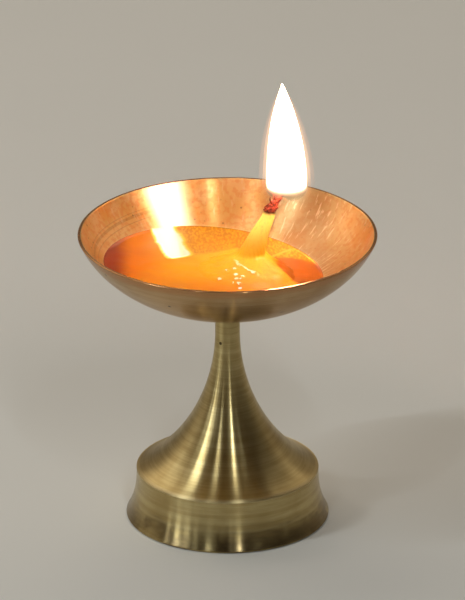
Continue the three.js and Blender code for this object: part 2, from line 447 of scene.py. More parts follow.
def clear_at_back(shader, x, y, wander):
    """1 in the clear, shallow ghee behind the wick, where the bowl's wall is seen through it."""
    right_side = shader.between(x, 4 * MM, 6 * MM)
    behind_left = shader.between(y - x * 0.6 + wander, 10.4 * MM, 12.2 * MM)
    from_edge = shader.length(x - POOL_CENTRE[0], y - POOL_CENTRE[1]) - POOL_RADIUS
    past_pool = shader.between(from_edge + wander, -0.6 * MM, 0.6 * MM)
    behind_right = past_pool * shader.between(y, MM, 3 * MM)
    behind = behind_left + (behind_right - behind_left) * right_side
    return behind * shader.between(x + y * 0.29 + wander, -11.2 * MM, -9.4 * MM)


SHINE_LINE_COLOUR = (0.62, 0.4, 0.05)
SHINE_LINE_START = (6.9 * MM, 7.0 * MM)
SHINE_LINE_END = (13.2 * MM, 14.8 * MM)
SHINE_LINE_WIDTH = 0.5 * MM


def painted_shine_line(shader, x, y, wander):
    """1 along a pale line, a painted highlight on a shiny edge, in the ghee from the stalk's foot out
    to the wall.
    """
    run = Vector(SHINE_LINE_END) - Vector(SHINE_LINE_START)
    way = run.normalized()
    along = (x - SHINE_LINE_START[0]) * way.x + (y - SHINE_LINE_START[1]) * way.y
    aside = (x - SHINE_LINE_START[0]) * way.y - (y - SHINE_LINE_START[1]) * way.x + wander * 0.12
    inside = shader.band(along, 0, MM, run.length - MM, run.length)
    gap = (aside * aside) ** 0.5
    return (1 - shader.between(gap, SHINE_LINE_WIDTH * 0.4, SHINE_LINE_WIDTH)) * inside


def ghee_finish():
    """Ghee, part set and part molten: amber, with a wet skin. Its colour holds painted flame light:
    paler near the flame, darker toward the front, and redder at its thick far end; and a painted
    reflection of the flame glows in its clear shallows.
    """
    material, shader = new_material("ghee")
    place = shader.place()
    x, y, z = shader.parts(place)
    curds = shader.grain(place, 210, detail=4, distortion=0.6)
    streaks = shader.grain(shader.stretched(place, (1, 2.4, 1)), 120, detail=3, distortion=1.5)
    wander = (curds - 0.5) * 5 * MM
    near_flame = shader.between(x + wander, -19 * MM, -9 * MM)
    red_end = 1 - shader.between(x + wander * 0.5, -23 * MM, -18.5 * MM)
    front = 1 - shader.between(y + wander * 0.5, -11 * MM, -1 * MM)
    shallow = clear_at_back(shader, x, y, wander * 0.45)
    blob = 1 - shader.between(x + y * 0.27 + wander * 0.45, -6.9 * MM, -3.9 * MM)
    # Painted flame light: the ghee is painted paler and yellower toward the flame, with painted shade
    # toward the front
    colour = shader.blend(GHEE_FAR, GHEE_PAINTED_LIT, near_flame)
    colour = shader.blend(colour, GHEE_FRONT_PAINTED_SHADE, front * near_flame)
    streaked = shader.between(streaks, 0.54, 0.72) * 0.3 * near_flame
    colour = shader.blend(colour, GHEE_STREAKED, streaked)
    colour = shader.blend(colour, GHEE_RIGHT, pooled_right(shader, place, wander * 0.25))
    spots = shader.grain(shader.stretched(place, (1, 0.4, 1)), 2100, detail=3)
    seen_wall = shader.blend(*GHEE_OVER_WALL, shader.between(spots, 0.36, 0.72))
    colour = shader.blend(colour, seen_wall, shallow * 0.85)
    # Painted reflection: a pale patch with a painted glow where the flame's reflection shows in the
    # clear ghee behind the wick
    painted_reflection = shallow * blob
    fringe = shader.between(painted_reflection, 0.0, 0.4)
    middle = shader.between(painted_reflection, 0.35, 0.8)
    colour = shader.blend(colour, REFLECTION_FRINGE, fringe)
    colour = shader.blend(colour, REFLECTION_MIDDLE, middle)
    painted_glow = shader.blend(NO_GLOW, REFLECTION_FRINGE_GLOW, fringe)
    painted_glow = shader.blend(painted_glow, REFLECTION_MIDDLE_GLOW, middle)
    # Painted highlight: a pale line in the ghee where a shiny edge catches the light
    colour = shader.blend(colour, SHINE_LINE_COLOUR, painted_shine_line(shader, x, y, wander))
    # Deeper red where the set ghee lies thick, with painted shade far from the flame
    colour = shader.blend(colour, GHEE_RED_SHADED_END, red_end)
    swell = shader.grain(place, 380, detail=2)
    curdled = 1 - shader.between(y + wander, 1 * MM, 7 * MM)
    shader.finish(
        {
            "Base Color": colour,
            "Roughness": 0.34 + (curds - 0.5) * 0.16,
            "Specular IOR Level": 0.06,
            "Subsurface Weight": 0.25,
            "Subsurface Radius": (1.0, 0.4, 0.08),
            "Subsurface Scale": 2.0 * MM,
            "Coat Weight": 1 - curdled * 0.7,
            "Coat IOR": 1.6,
            "Alpha": 1 - shallow * (0.36 + blob * 0.24),
            "Emission Color": painted_glow,
            "Emission Strength": 1.0,
            "Coat Roughness": 0.03,
            "Normal": shader.bump((swell * 0.7 + streaks * 0.5) * curdled, 0.5, 0.12 * MM),
        }
    )
    return material


COTTON_HOT = (0.9, 0.7, 0.13)
COTTON_FURROWED = (0.5, 0.17, 0.01)
COTTON_CLUMPED = (0.6, 0.3, 0.03)
COTTON_SCORCHED = (0.12, 0.018, 0.008)
COTTON_PAINTED_GLOW = (0.3, 0.16, 0.01)
COTTON_HOT_PAINTED_GLOW = (0.4, 0.37, 0.09)

# The puckers on the pad in mm, where highlights are painted: a curve through three points, and flecks
# with their reach
PUCKER_HIGHLIGHT = (1.0, 0.95, 0.8)
LONG_PUCKER = ((1.2, 3.6), (3.0, 0.15), (6.0, -2.2))
SHORT_PUCKERS = [
    (1.3, -0.5, 0.4), (1.6, -2.9, 0.5), (3.0, -3.7, 0.4), (1.8, -4.7, 0.45), (2.3, -6.5, 0.5),
    (2.5, -8.1, 0.36), (-0.2, -1.0, 0.4), (-1.6, -5.0, 0.6), (2.6, -4.6, 0.3), (1.0, -6.0, 0.28),
]
PUCKER_WIDTH = 0.36 * MM


def circle_through(points):
    """The centre and radius of the circle through three points."""
    (ax, ay), (bx, by), (cx, cy) = points
    twice_area = 2 * (ax * (by - cy) + bx * (cy - ay) + cx * (ay - by))
    squares = [x * x + y * y for x, y in points]
    across = (squares[0] * (by - cy) + squares[1] * (cy - ay) + squares[2] * (ay - by)) / twice_area
    back = (squares[0] * (cx - bx) + squares[1] * (ax - cx) + squares[2] * (bx - ax)) / twice_area
    return (across, back), math.hypot(ax - across, ay - back)


def painted_pucker_highlights(shader, x, y):
    """1 where a painted highlight lies on the puckered cotton: along one long curve and in a few
    flecks.
    """
    centre, radius = circle_through(LONG_PUCKER)
    gap = shader.length(x - centre[0] * MM, y - centre[1] * MM) - radius * MM
    start, end = LONG_PUCKER[0][0] * MM, LONG_PUCKER[-1][0] * MM
    along = shader.band(x, start, start + 0.6 * MM, end - 0.8 * MM, end)
    toward_front = 1 - shader.between(y, 3.7 * MM, 4.2 * MM)
    close = 1 - shader.between((gap * gap) ** 0.5, PUCKER_WIDTH * 0.4, PUCKER_WIDTH)
    pale = close * along * toward_front
    flat_place = shader.vector(x, y * 0.7, 0)
    for across_mm, back_mm, reach_mm in SHORT_PUCKERS:
        pale = pale + shader.near(flat_place, (across_mm * MM, back_mm * 0.7 * MM, 0), reach_mm * MM)
    return shader.between(pale, 0.2, 0.8)


def cotton_finish():
    """Cotton soaked through with warm ghee: yellow, with a painted glow where the flame is near,
    painted flame light and shade low down like the ghee's, and painted highlights on its puckers.
    """
    material, shader = new_material("soaked_cotton")
    place = shader.place()
    x, y, z = shader.parts(place)
    fibres = shader.grain(shader.stretched(place, (1, 1, 0.22)), 2300, detail=3, distortion=0.4)
    clumps = shader.grain(place, 330, detail=3, distortion=0.5)
    wander = (clumps - 0.5) * 5 * MM
    hot = shader.between(z, GHEE_HEIGHT + 2 * MM, CHAR_FOOT)
    low = 1 - shader.between(z, GHEE_HEIGHT, GHEE_HEIGHT + 2.5 * MM)
    front = 1 - shader.between(y + wander * 0.5, -11 * MM, -1 * MM)
    # Painted flame light low on the pad like the ghee's, with painted shade toward the front
    colour = shader.blend(GHEE_PAINTED_LIT, COTTON_HOT, hot)
    colour = shader.blend(colour, GHEE_FRONT_PAINTED_SHADE, front * low)
    colour = shader.blend(colour, COTTON_FURROWED, shader.between(fibres, 0.5, 0.68) * 0.25)
    colour = shader.blend(colour, COTTON_CLUMPED, shader.between(clumps, 0.5, 0.7) * 0.25)
    colour = shader.blend(colour, GHEE_RIGHT, pooled_right(shader, place, wander * 0.25))
    askew = (shader.grain(place, 1250, detail=2) - 0.5) * 1.3 * MM
    awry = (shader.grain(place, 900, detail=2) - 0.5) * 1.3 * MM
    # Painted highlight: pale colour on the puckers where wet glints show
    pucker_highlight = painted_pucker_highlights(shader, x + askew, y + awry) * low
    colour = shader.blend(colour, PUCKER_HIGHLIGHT, pucker_highlight)
    ragged = z + (clumps - 0.5) * 1.4 * MM
    scorched = shader.between(ragged, CHAR_FOOT - 0.7 * MM, CHAR_FOOT + 0.1 * MM)
    colour = shader.blend(colour, COTTON_SCORCHED, scorched)
    # Painted glow: the cotton emits light where the flame shines through it, and none low in the ghee
    painted_glow = shader.blend(COTTON_PAINTED_GLOW, COTTON_HOT_PAINTED_GLOW, hot)
    painted_glow = shader.blend(painted_glow, NO_GLOW, low)
    across = (x - PAD_CENTRE[0]) / PAD_RADII[0]
    back = (y - PAD_CENTRE[1]) / PAD_RADII[1]
    from_middle = shader.length(across, back)
    shader.finish(
        {
            "Base Color": colour,
            "Roughness": 0.42 + (fibres - 0.5) * 0.2,
            "Specular IOR Level": 0.1,
            "Subsurface Weight": 0.25,
            "Subsurface Radius": (1.0, 0.5, 0.12),
            "Subsurface Scale": 1.8 * MM,
            "Coat Weight": low * 0.5 * (1 - shader.between(from_middle, 0.5, 0.66)),
            "Coat Roughness": 0.04,
            "Emission Color": shader.blend(painted_glow, NO_GLOW, scorched),
            "Emission Strength": 1.0,
            "Normal": shader.bump(fibres * 0.4 + clumps * 0.7, 0.6, 0.12 * MM),
        }
    )
    return material


CHAR_MAROON = (0.17, 0.024, 0.009)
CHAR_BLACK = (0.02, 0.006, 0.004)
EMBER_DULL = (0.05, 0.004, 0.001)
EMBER_BRIGHT = (1.0, 0.2, 0.05)


def char_finish():
    """Burnt cotton: a brittle maroon and black crust that still glows in its cracks."""
    material, shader = new_material("burnt_cotton")
    place = shader.place()
    x, y, z = shader.parts(place)
    crust = shader.grain(place, 1500, detail=4, distortion=0.6)
    flakes = shader.specks(place, 2100)
    cracks = 1 - shader.between(flakes, 0.1, 0.42)
    climb = shader.between(z, CHAR_FOOT, CHAR_FOOT + 5 * MM)
    colour = shader.blend(CHAR_MAROON, CHAR_BLACK, shader.between(crust, 0.42, 0.6))
    glow = cracks * (0.3 + climb * 0.7)
    shader.finish(
        {
            "Base Color": colour,
            "Roughness": 0.75 + (crust - 0.5) * 0.3,
            "Specular IOR Level": 0.1,
            "Emission Color": shader.blend(EMBER_DULL, EMBER_BRIGHT, glow),
            "Emission Strength": 1.2,
            "Normal": shader.bump(crust - cracks * 0.5, 0.8, 0.15 * MM),
        }
    )
    return material


def flame_finish(name, strength, cover, hot, warm, foot_glow):
    """Burning gas: hottest and palest in its middle, thinner, warmer and darker at its foot."""
    material, shader = new_material(name)
    x, y, z = shader.parts(shader.place())
    rise = shader.between(z, FLAME_FOOT, FLAME_FOOT + 6 * MM)
    tip = shader.between(z, FLAME_TIP - 7 * MM, FLAME_TIP)
    flicker = shader.grain(shader.stretched(shader.place(), (1, 1, 0.3)), 300, detail=2)
    colour = shader.blend(warm, hot, rise * (1 - tip * 0.6) * (0.85 + flicker * 0.15))
    lit = shader.between(z, FLAME_FOOT + 1.5 * MM, FLAME_FOOT + 5.5 * MM)
    colour = shader.blend(NO_GLOW, colour, foot_glow + lit**2.5 * (1 - foot_glow))
    shader.finish(
        {
            "Base Color": (0, 0, 0),
            "Roughness": 1,
            "IOR": 1,
            "Specular IOR Level": 0,
            "Alpha": cover * (0.1 + lit**0.4 * 0.9),
            "Emission Color": colour,
            "Emission Strength": strength,
        }
    )
    return material


# Shaping


WELD_REACH = 0.002 * MM


def spun(profile, steps):
    """A profile of (radius, height) swept once round the lamp's axis."""
    shape = bmesh.new()
    points = [shape.verts.new((radius, 0, height)) for radius, height in profile]
    edges = [shape.edges.new(pair) for pair in zip(points, points[1:])]
    bmesh.ops.spin(
        shape,
        geom=points + edges,
        cent=(0, 0, 0),
        axis=(0, 0, 1),
        angle=math.tau,
        steps=steps,
        use_merge=True,
    )
    return shape


def weld(shape, reach=WELD_REACH):
    """Joins the points that lie together, and turns every face outwards."""
    bmesh.ops.remove_doubles(shape, verts=shape.verts, dist=reach)
    bmesh.ops.recalc_face_normals(shape, faces=shape.faces)


def turned(profile):
    """A closed shape turned about the lamp's axis from a profile of (radius, height)."""
    shape = spun(profile, TURNED_STEPS)
    weld(shape)
    return shape


def round_corner(shape, corner, width, segments=4):
    """Rounds the ring of edges at a corner of the turned profile."""
    radius, height = corner
    reach = 0.01 * MM

    def on_corner(vert):
        return abs(vert.co.xy.length - radius) < reach and abs(vert.co.z - height) < reach

    edges = [edge for edge in shape.edges if all(on_corner(vert) for vert in edge.verts)]
    bmesh.ops.bevel(
        shape,
        geom=edges,
        offset=width,
        offset_type="OFFSET",
        segments=segments,
        profile=0.5,
        affect="EDGES",
        material=-1,
    )


def sleeve(rings, place, steps=SOFT_STEPS):
    """A closed tube of so many rings, whose points place(ring, angle) puts.

    Both end rings shrink to a point.
    """
    shape = spun([(1, ring) for ring in range(rings)], steps)
    for vert in shape.verts:
        vert.co = place(round(vert.co.z), math.atan2(vert.co.y, vert.co.x))
    weld(shape)
    return shape


def add_piece(name, shape, materials, body, stands_for=()):
    """Makes the shape a piece of the lamp that rides on a body."""
    mesh = bpy.data.meshes.new(name)
    shape.to_mesh(mesh)
    shape.free()
    mesh.shade_smooth()
    mesh.set_sharp_from_angle(angle=math.radians(42))
    for material in materials:
        mesh.materials.append(material)
    piece = bpy.data.objects.new(name, mesh)
    bpy.context.scene.collection.objects.link(piece)
    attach(piece, body)
    if stands_for:
        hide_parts(*stands_for)
    return piece


# Stand


def skirt_point(share):
    """A point of the skirt, from the foot's edge to the shoulder."""
    return bowed_point(share, ((FOOT_RADIUS, FOOT_EDGE), SKIRT_WAIST, SHOULDER))


def cone_point(share):
    """A point of the flared cone, from the shoulder up to the neck."""
    neck_foot = SEAT_HEIGHT - NECK_LENGTH
    leaving = (
        SHOULDER[0] - CONE_FOOT_REACH * math.cos(CONE_FOOT_ANGLE),
        SHOULDER[1] + CONE_FOOT_REACH * math.sin(CONE_FOOT_ANGLE),
    )
    arriving = (NECK_RADIUS, neck_foot - CONE_NECK_REACH)
    left = 1 - share
    weights = (left**3, 3 * left**2 * share, 3 * left * share**2, share**3)
    return curve_point(weights, (SHOULDER, leaving, arriving, (NECK_RADIUS, neck_foot)))


def curve_point(weights, points):
    return tuple(sum(w * point[axis] for w, point in zip(weights, points)) for axis in (0, 1))


def bowed_point(share, points):
    """A point of the curve from the first point to the third that bends toward the second."""
    return curve_point(((1 - share) ** 2, 2 * share * (1 - share), share**2), points)


def inset_cone(share):
    """The cone's point moved inwards by the stand's wall."""
    radius, height = cone_point(share)
    next_radius, next_height = cone_point(share + 0.001)
    length = math.hypot(next_radius - radius, next_height - height)
    side = (next_height - height) / length
    back = (next_radius - radius) / length
    return radius - STAND_WALL * side, height + STAND_WALL * back


ROOF_STEPS = 60
SKIRT_STEPS = 14
CONE_STEPS = 64


def stand_profile():
    """From the top of the hollow, down inside, round the foot, up outside and down the screw hole."""
    roof = [inset_cone(step / ROOF_STEPS) for step in range(ROOF_STEPS)]
    inner_radius = SHOULDER[0] - STAND_WALL
    roof = [point for point in roof if NECK_RADIUS <= point[0] <= inner_radius]
    side = [skirt_point(step / SKIRT_STEPS) for step in range(SKIRT_STEPS + 1)]
    roof_foot = roof[0][1] - 0.4 * MM
    inner = [(radius - STAND_WALL, height) for radius, height in side if height < roof_foot]
    hole_foot = SEAT_HEIGHT - HOLE_DEPTH
    return [
        (0, roof[-1][1] + CORE_TIP_HEIGHT),
        *reversed(roof),
        *reversed(inner),
        (inner[0][0], 0),
        (FOOT_RADIUS - FOOT_EDGE, 0),
        *side,
        *[cone_point(step / CONE_STEPS) for step in range(1, CONE_STEPS + 1)],
        (NECK_RADIUS, SEAT_HEIGHT),
        (HOLE_RADIUS, SEAT_HEIGHT),
        (HOLE_RADIUS, hole_foot),
        (0, hole_foot),
    ]


def add_stand():
    shape = turned(stand_profile())
    round_corner(shape, SHOULDER, 0.22 * MM)
    round_corner(shape, (FOOT_RADIUS, FOOT_EDGE), 0.14 * MM)
    round_corner(shape, (FOOT_RADIUS - FOOT_EDGE, 0), 0.12 * MM)
    round_corner(shape, (NECK_RADIUS, SEAT_HEIGHT), 0.12 * MM)
    round_corner(shape, (HOLE_RADIUS, SEAT_HEIGHT), 0.15 * MM)
    tones = (STAND_PALE, STAND_DEEP)
    material = turned_brass("stand_brass", *tones, STAND_SATIN, STAND_RING_DEPTH, RIM_HEIGHT)
    add_piece("turned_stand", shape, [material], "stand", ["pedestal"])


# Bowl


BOWL_STEPS = 52
RIM_ANGLE = math.asin(BOWL_BULGE)


def oval_curve(radius, depth):
    """The bowl's curve from its middle out to its rim: part of an oval a little wider than the rim."""
    oval_radius = radius / BOWL_BULGE
    oval_height = depth / (1 - math.cos(RIM_ANGLE))
    angles = [RIM_ANGLE * step / BOWL_STEPS for step in range(BOWL_STEPS + 1)]
    foot = RIM_HEIGHT - depth
    return [(oval_radius * math.sin(a), foot + oval_height * (1 - math.cos(a))) for a in angles]


def inside_radius(height):
    """How wide the bowl is inside at a height."""
    depth = BOWL_DEPTH - BOWL_FLOOR
    oval_height = depth / (1 - math.cos(RIM_ANGLE))
    lift = min(max(height - (RIM_HEIGHT - depth), 0) / oval_height, 1)
    return (RIM_RADIUS - BOWL_WALL) / BOWL_BULGE * math.sqrt(1 - (1 - lift) ** 2)


def inside_height(radius):
    """How high the bowl's inside surface is at a distance from the axis."""
    depth = BOWL_DEPTH - BOWL_FLOOR
    oval_height = depth / (1 - math.cos(RIM_ANGLE))
    share = radius * BOWL_BULGE / (RIM_RADIUS - BOWL_WALL)
    return RIM_HEIGHT - depth + oval_height * (1 - math.sqrt(1 - share**2))


# Where the nicks in the rim are, and how deep
RIM_NICKS = [
    (math.radians(183), 0.16 * MM),
    (math.radians(214), 0.1 * MM),
    (math.radians(318), 0.12 * MM),
]
NICK_WIDTH = math.radians(0.9)


def wear_rim(shape):
    """Lets the rim waver by hundredths of a millimetre, with a few nicks."""
    for vert in shape.verts:
        closeness = smooth_step(RIM_HEIGHT - 1.2 * MM, RIM_HEIGHT, vert.co.z)
        if closeness == 0:
            continue
        angle = math.atan2(vert.co.y, vert.co.x) % math.tau
        waver = 0.05 * MM * rough(math.cos(angle), math.sin(angle), 0, 0.35) - 0.06 * MM
        cut = sum(deep * math.exp(-(((angle - at) / NICK_WIDTH) ** 2)) for at, deep in RIM_NICKS)
        vert.co.z += (waver - cut) * closeness


def add_bowl():
    outer = oval_curve(RIM_RADIUS, BOWL_DEPTH)
    inner = oval_curve(RIM_RADIUS - BOWL_WALL, BOWL_DEPTH - BOWL_FLOOR)
    profile = [
        (0, SPIGOT_END),
        (THREAD_CORE - 0.3 * MM, SPIGOT_END),
        (THREAD_CORE, SPIGOT_END + 0.3 * MM),
        (THREAD_CORE, SEAT_HEIGHT),
        (NECK_RADIUS, SEAT_HEIGHT),
        *[point for point in outer if point[0] > NECK_RADIUS],
        *reversed(inner),
    ]
    shape = turned(profile)
    round_corner(shape, (RIM_RADIUS, RIM_HEIGHT), RIM_ROUNDING)
    round_corner(shape, (RIM_RADIUS - BOWL_WALL, RIM_HEIGHT), RIM_ROUNDING)
    wear_rim(shape)
    middle_wall = (BOWL_WALL + BOWL_FLOOR) / 4
    for face in shape.faces:
        centre = face.calc_center_median()
        radius = min(centre.xy.length, RIM_RADIUS - BOWL_WALL)
        above = centre.z > inside_height(radius) - middle_wall
        face.material_index = int(above and centre.xy.length < RIM_RADIUS - BOWL_WALL + 0.1 * MM)
    tones = (BOWL_PALE, BOWL_DEEP)
    burnt_from = RIM_HEIGHT - BURNT_BAND
    outside = turned_brass("bowl_brass", *tones, BOWL_SATIN, BOWL_RING_DEPTH, burnt_from)
    inside = worn_brass("scorched_brass")
    add_piece("turned_bowl", shape, [outside, inside], "cup", ["bowl"])
    return outside


THREAD_TURNS = 13
THREAD_STEPS_A_TURN = 36


def add_screw(material):
    """The thread under the bowl: a three-sided ridge wound up the spigot by a screwing spin."""
    foot = SPIGOT_END + 0.45 * MM
    shape = bmesh.new()
    half = THREAD_PITCH * 0.42
    sunk = THREAD_CORE - 0.1 * MM
    corners = [(sunk, foot - half), (THREAD_RADIUS, foot), (sunk, foot + half)]
    ridge = shape.faces.new([shape.verts.new((radius, 0, height)) for radius, height in corners])
    bmesh.ops.spin(
        shape,
        geom=[ridge, *ridge.edges, *ridge.verts],
        cent=(0, 0, 0),
        axis=(0, 0, 1),
        dvec=(0, 0, THREAD_PITCH / THREAD_STEPS_A_TURN),
        angle=math.tau * THREAD_TURNS,
        steps=THREAD_TURNS * THREAD_STEPS_A_TURN,
        use_duplicate=False,
    )
    bmesh.ops.recalc_face_normals(shape, faces=shape.faces)
    add_piece("screw_thread", shape, [material], "cup")


# Ghee and wick


def ghee_level(x):
    """The height of the ghee's slanting surface."""
    return GHEE_HEIGHT - GHEE_SLOPE * x


def pad_share(x, y):
    """0 at the middle of the pad and 1 at its edge."""
    return math.hypot((x - PAD_CENTRE[0]) / PAD_RADII[0], (y - PAD_CENTRE[1]) / PAD_RADII[1])


def pad_underside(x, y):
    share = min(pad_share(x, y), 1)
    return ghee_level(x) - PAD_EDGE_DEPTH - PAD_BELLY * (1 - share**2) ** 0.8


def pad_sink(x, y):
    """How far the rim of the pad lies lower than its crown, so that the ghee closes over it."""
    return 0.8 * MM * smooth_step(0.68, 1.04, pad_share(x, y))


def ghee_edge(angle):
    """How far from the axis the ghee's surface meets the bowl in a direction."""
    radius = inside_radius(GHEE_HEIGHT)
    for _ in range(12):
        radius = inside_radius(ghee_level(radius * math.cos(angle)) + GHEE_CREEP) - GHEE_GAP
    return radius


GHEE_RINGS_UNDER = 14
GHEE_RINGS_OVER = 110
PAD_CLIMB = 0.05 * MM


def ghee_point(ring, angle):
    """Rings run from the middle of the underside out to the edge and back over the top."""
    edge = ghee_edge(angle)
    if ring <= GHEE_RINGS_UNDER:
        radius = edge * ring / GHEE_RINGS_UNDER
        x, y = radius * math.cos(angle), radius * math.sin(angle)
        height = inside_height(radius) + GHEE_GAP
        if ring == GHEE_RINGS_UNDER:
            height = ghee_level(x) + GHEE_CREEP
        return Vector((x, y, height))
    share = (ring - GHEE_RINGS_UNDER) / GHEE_RINGS_OVER
    radius = edge * (1 - share**1.15)
    x, y = radius * math.cos(angle), radius * math.sin(angle)
    creep = GHEE_CREEP * math.exp(-(edge - radius) / (0.5 * MM))
    swell = 0.16 * MM * rough(x, y, 0, 5 * MM) + 0.07 * MM * rough(x, y, 9, 2 * MM)
    swell *= smooth_step(0, 2.5 * MM, edge - radius) * (1 - smooth_step(1 * MM, 7 * MM, y))
    share_of_pad = pad_share(x, y)
    climb = PAD_CLIMB * (1 - smooth_step(0.92, 1.25, share_of_pad))
    height = ghee_level(x) + creep + swell + climb
    under = pad_underside(x, y) - 0.12 * MM
    wall = 1 - smooth_step(0.76, 0.81, share_of_pad)
    floor = inside_height(radius) + 3 * GHEE_GAP
    return Vector((x, y, max(mix(height, under, wall), floor)))


def add_ghee():
    shape = sleeve(GHEE_RINGS_UNDER + GHEE_RINGS_OVER + 1, ghee_point)
    add_piece("ghee_pool", shape, [ghee_finish()], "cup", ["ghee"])


PAD_RINGS_UNDER = 12
PAD_RINGS_EDGE = 5
GATHER_RINGS = 60
STALK_RINGS = 46
CAP_RINGS = 4


def stalk_ring(share):
    """The middle and radius of the stalk, 0 at its root and 1 at the burnt end."""
    radius = mix(STALK_ROOT, STALK_TIP, share**STALK_TAPER)
    x = STALK_FOOT[0] + STALK_LEAN[0] * share
    y = STALK_FOOT[1] + STALK_LEAN[1] * share
    return Vector((x, y, GHEE_HEIGHT + STALK_HEIGHT * share)), radius


def strand_ridge(angle, share):
    """Twisted strands round the stalk, from -1 in a furrow to 1 on a strand."""
    turn = angle + STRAND_TWIST * share
    drift = 0.9 * rough(math.cos(angle), math.sin(angle), share * 2.2, 0.8)
    ridge = abs(math.sin(turn * STRANDS / 2 + drift))
    fine = rough(math.cos(turn) * 3, math.sin(turn) * 3, share * 3, 0.35)
    return (ridge * 2 - 1) * 0.7 + fine * 0.6


# The puckers stand up along a long crease, in mm, and at most of the short puckers
LONG_CREASE = ((1.2, 3.6), (2.4, -0.4), (6.0, -2.2))
LONG_CREASE_STEPS = 32
RAISED_PUCKERS = 8
CREASE_HEIGHT = 0.34 * MM
CREASE_WIDTH = 0.42 * MM


def crease_centres():
    """Where the wet cotton is puckered: points along the long crease, and single ones."""
    shares = [step / LONG_CREASE_STEPS for step in range(LONG_CREASE_STEPS + 1)]
    centres = [bowed_point(share, LONG_CREASE) for share in shares]
    centres += [(x, y) for x, y, reach in SHORT_PUCKERS[:RAISED_PUCKERS]]
    return [(x * MM, y * MM) for x, y in centres]


def wet_creases(x, y, centres):
    """How high the puckers in the wet cotton stand."""
    nearest = min(math.hypot(x - at[0], y - at[1]) for at in centres)
    return CREASE_HEIGHT * math.exp(-((nearest / CREASE_WIDTH) ** 2))


CREASE_CENTRES = crease_centres()


def gathered_point(share, angle):
    """The pad's top, drawn up into the stalk in soft folds."""
    spread = math.cos(share * math.pi / 2)
    root, root_radius = stalk_ring(share * GATHER_SHARE)
    middle = Vector((mix(root.x, PAD_CENTRE[0], spread), mix(root.y, PAD_CENTRE[1], spread), 0))
    radii = [mix(root_radius, radius - PAD_RISE, spread) for radius in PAD_RADII]
    folds = math.sin(angle * 9 + 2.2 * rough(math.cos(angle), math.sin(angle), 3, 0.9))
    folds *= smooth_step(0.05, 0.6, share) * (1 - smooth_step(0.75, 1, share))
    x = middle.x + radii[0] * math.cos(angle)
    y = middle.y + radii[1] * math.sin(angle)
    height = mix(root.z, GHEE_HEIGHT + PAD_RISE, math.sqrt(spread)) - GHEE_SLOPE * spread * x
    lumps = 0.22 * rough(x, y, 0, 3.2 * MM) + 0.12 * rough(x, y, 4, 1.4 * MM)
    ridge = 0.1 * strand_ridge(angle, share * GATHER_SHARE) * smooth_step(0.4, 1, share)
    height += (0.05 * folds + lumps * (1 - share) * share * 3) * MM - pad_sink(x, y)
    height += wet_creases(x, y, CREASE_CENTRES) * (1 - smooth_step(0.8, 1, share))
    outward = Vector((math.cos(angle), math.sin(angle), 0)) * ridge * MM
    return Vector((x, y, height)) + outward


def wick_point(ring, angle):
    """Rings run from the middle of the pad's underside, round its edge, and up to the stalk's end."""
    flat = Vector((math.cos(angle), math.sin(angle), 0))
    if ring <= PAD_RINGS_UNDER:
        share = 0.985 * ring / PAD_RINGS_UNDER
        x = PAD_CENTRE[0] + PAD_RADII[0] * share * flat.x
        y = PAD_CENTRE[1] + PAD_RADII[1] * share * flat.y
        wall = inside_height(math.hypot(x, y)) + 5 * GHEE_GAP
        return Vector((x, y, max(pad_underside(x, y), wall)))
    ring -= PAD_RINGS_UNDER
    if ring < PAD_RINGS_EDGE:
        turn = math.pi / 2 * ring / PAD_RINGS_EDGE
        x = PAD_CENTRE[0] + (PAD_RADII[0] - PAD_RISE * (1 - math.cos(turn))) * flat.x
        y = PAD_CENTRE[1] + (PAD_RADII[1] - PAD_RISE * (1 - math.cos(turn))) * flat.y
        lumps = 0.1 * MM * rough(x, y, 0, 3.2 * MM) * math.sin(turn)
        return Vector((x, y, ghee_level(x) + PAD_RISE * math.sin(turn) + lumps - pad_sink(x, y)))
    ring -= PAD_RINGS_EDGE
    if ring <= GATHER_RINGS:
        return gathered_point(ring / GATHER_RINGS, angle)
    ring -= GATHER_RINGS
    share = mix(GATHER_SHARE, 1, min(ring / STALK_RINGS, 1))
    middle, radius = stalk_ring(share)
    depth = mix(0.08, 0.05, share) * MM
    radius += depth * strand_ridge(angle, share)
    bend = 0.12 * MM * math.sin(share * 9)
    bent = smooth_step(0.2, 0.5, share) * (1 - smooth_step(0.9, 1, share))
    middle += Vector((bend, 0.6 * bend, 0)) * bent
    over = max(ring - STALK_RINGS, 0) / CAP_RINGS
    cap = math.cos(over * math.pi / 2)
    return middle + flat * radius * cap + Vector((0, 0, 0.25 * MM * math.sin(over * math.pi / 2)))


def add_wick():
    rings = PAD_RINGS_UNDER + PAD_RINGS_EDGE + GATHER_RINGS + STALK_RINGS + CAP_RINGS + 1
    shape = sleeve(rings, wick_point)
    wick = add_piece("cotton_wick", shape, [cotton_finish()], "lit_wick", ["wick"])


# Burnt end


CHAR_RINGS = 40


def char_middle(share):
    top, _ = stalk_ring(1)
    return top + Vector((CHAR_LEAN[0] * share**1.3, CHAR_LEAN[1] * share, CHAR_LENGTH * share))


def char_point(ring, angle):
    """A lumpy crust that thins and bends over."""
    share = (ring - 2) / (CHAR_RINGS - 5)
    held = min(max(share, 0), 1)
    radius = mix(STALK_TIP * 1.04, CHAR_TIP, held**1.4) * (1 + 0.1 * math.sin(3 * math.pi * held))
    flat = Vector((math.cos(angle), math.sin(angle), 0))
    big_lumps = rough(flat.x * 2, flat.y * 2, held * 5, 1.0)
    small_lumps = rough(flat.x * 3, flat.y * 3, held * 14, 0.9)
    radius *= 1 + 0.24 * big_lumps + 0.16 * small_lumps
    if ring in (0, CHAR_RINGS):
        radius = 0
    if ring in (1, CHAR_RINGS - 1):
        radius *= 0.6
    rise = 0.3 * MM * min(max(share - 1, 0) / 0.08, 1) - (0.25 * MM if ring < 2 else 0)
    return char_middle(held) + flat * radius + Vector((0, 0, rise))


